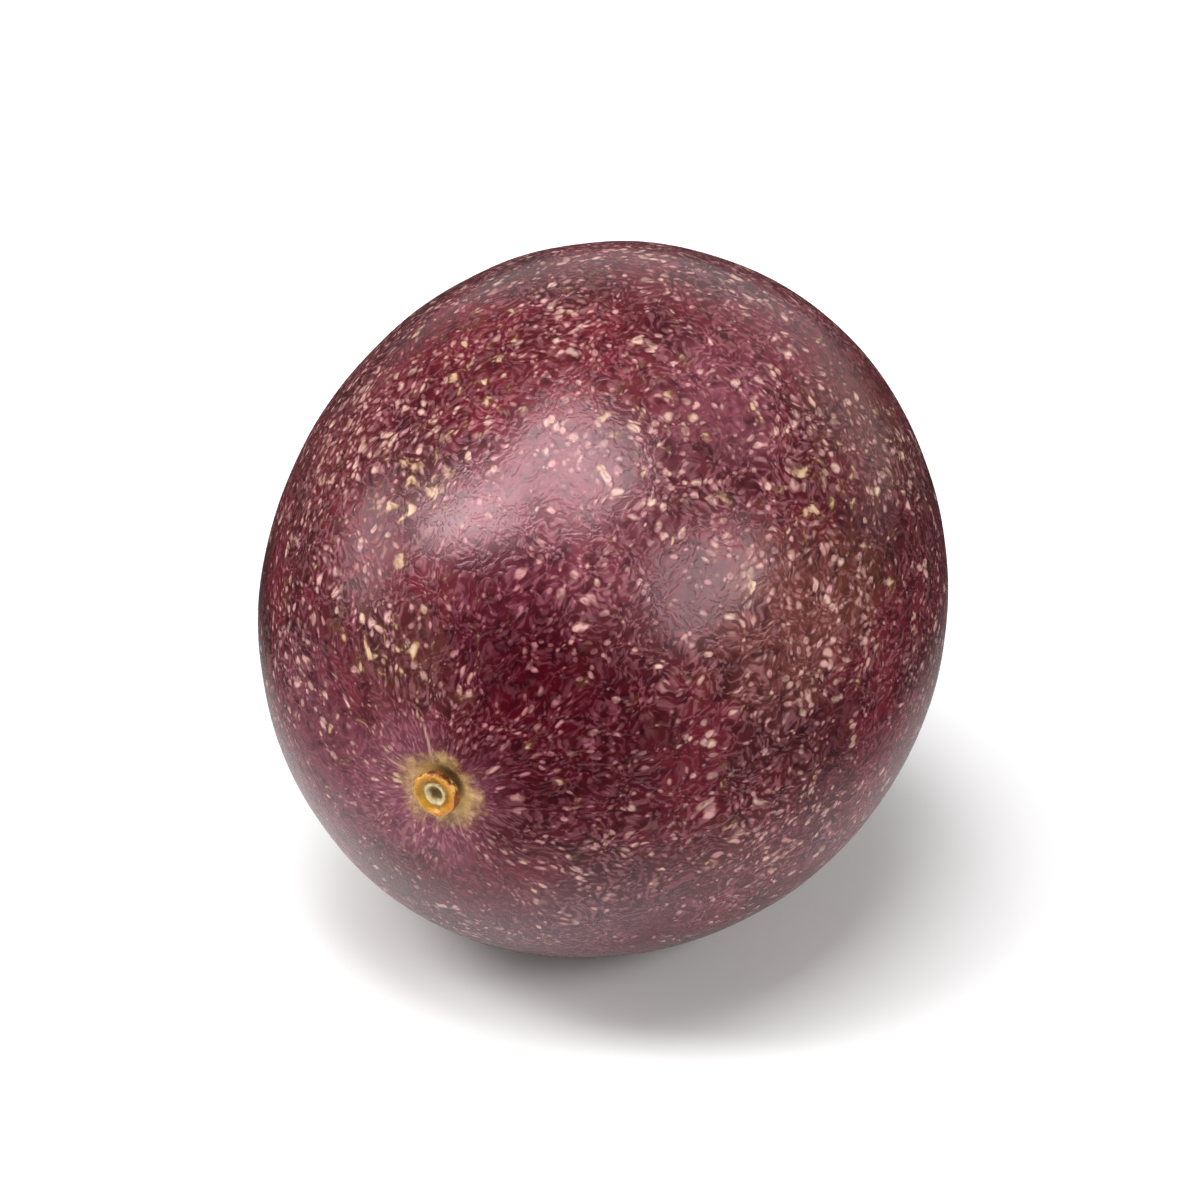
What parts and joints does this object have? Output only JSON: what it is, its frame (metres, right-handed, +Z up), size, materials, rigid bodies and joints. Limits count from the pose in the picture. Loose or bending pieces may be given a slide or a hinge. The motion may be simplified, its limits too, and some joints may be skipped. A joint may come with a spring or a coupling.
{
  "type": "passion fruit",
  "caption": "Whole purple passion fruit lying on its side, with a dimpled stem end and a short stem stub.",
  "frame": {"origin": "on the resting surface, under the middle of the bounding box", "axes": "+Z up from the flat spot that the fruit rests on, +Y along the fruit's length towards the blossom end, so the stem stub is at -Y, +X across its width"},
  "size_m": [0.0566, 0.0617, 0.0573],
  "materials": {
    "fruit_rind": "satin",
    "stem_bark": "matte"
  },
  "bodies": {
    "root": {"fruit": "fruit_rind", "stem_stub": "stem_bark"}
  },
  "joints": []
}
